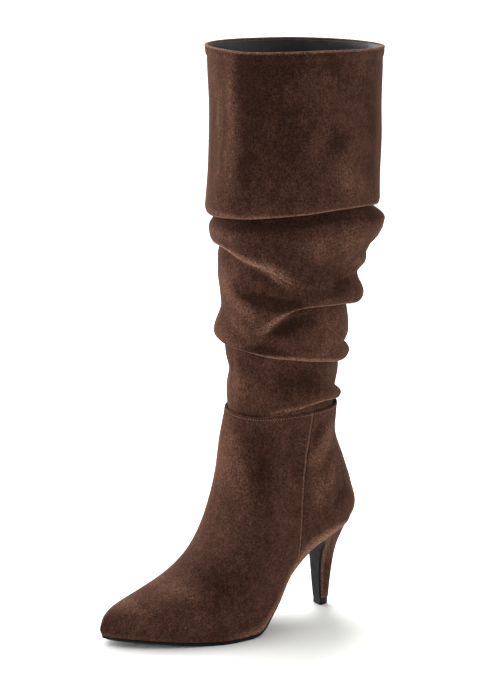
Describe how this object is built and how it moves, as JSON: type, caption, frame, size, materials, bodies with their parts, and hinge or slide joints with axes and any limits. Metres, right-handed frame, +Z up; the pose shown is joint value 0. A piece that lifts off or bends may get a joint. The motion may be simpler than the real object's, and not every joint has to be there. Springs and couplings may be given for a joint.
{
  "type": "zip-up boot",
  "caption": "Knee-high slouch boot with a pointed toe, slim covered heel, straight cuff, soft folded shaft and a short zip on the inner side of the ankle.",
  "frame": {"origin": "middle of the boot's bounding box, on the floor it stands on", "axes": "+X towards the toe, +Y towards the outer side of the foot, +Z up"},
  "size_m": [0.261, 0.1308, 0.485],
  "materials": {
    "suede": "matte",
    "sole": "satin",
    "tip": "matte",
    "sock": "matte",
    "coil": "matte",
    "metal": "satin"
  },
  "bodies": {
    "boot": {"upper": "suede", "shaft": "suede", "heel": "suede", "outsole": "sole", "heel_top_piece": "tip", "insole": "sock", "zip_chain": "coil", "zip_slider": "metal"},
    "pull": {"zip_pull": "metal"}
  },
  "joints": [
    {"name": "pull_swing", "type": "hinge", "parent": "boot", "child": "pull", "pos_m": [-0.03895, -0.04058, 0.16772], "axis": [-0.9919, -0.1273, 0], "range_deg": [-10, 150]}
  ]
}
